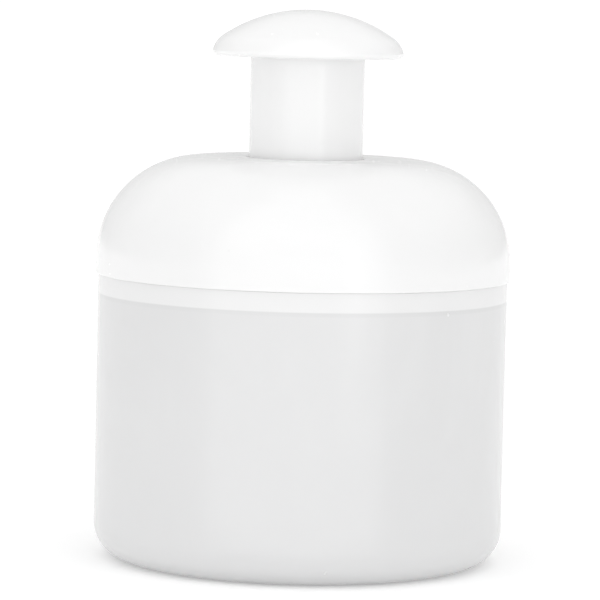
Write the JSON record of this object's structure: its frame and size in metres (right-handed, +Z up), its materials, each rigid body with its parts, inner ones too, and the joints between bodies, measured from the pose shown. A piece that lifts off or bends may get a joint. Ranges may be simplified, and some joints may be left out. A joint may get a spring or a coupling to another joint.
{
  "type": "plunger foam maker",
  "caption": "Hand-plunger foam maker: wide translucent cup, domed push-fit lid, and a hollow plunger with a mushroom knob and a perforated foaming head.",
  "frame": {"origin": "centre of the cup's foot, on the surface it stands on", "axes": "+Z up along the common axis of cup, lid and plunger; +X and +Y are equal, because the object is round"},
  "size_m": [0.0844, 0.0844, 0.112],
  "materials": {
    "milky_plastic": "satin, milky translucent polypropylene",
    "white_gloss": "glossy opaque white",
    "head_plastic": "satin white",
    "mesh": "fine woven white nylon"
  },
  "bodies": {
    "jar": {"jar": "milky_plastic"},
    "lid": {"lid_dome": "white_gloss"},
    "plunger": {"plunger_tube": "white_gloss", "knob_cap": "white_gloss", "foam_plate": "head_plastic", "mesh_upper": "mesh", "mesh_spacer": "head_plastic", "mesh_lower": "mesh", "foam_basket": "head_plastic"}
  },
  "joints": [
    {"name": "lid_lift", "type": "slide", "parent": "jar", "child": "lid", "axis": [0, 0, 1], "range_m": [0, 0.07]},
    {"name": "plunger_slide", "type": "slide", "parent": "lid", "child": "plunger", "axis": [0, 0, 1], "range_m": [0, 0.05]}
  ]
}
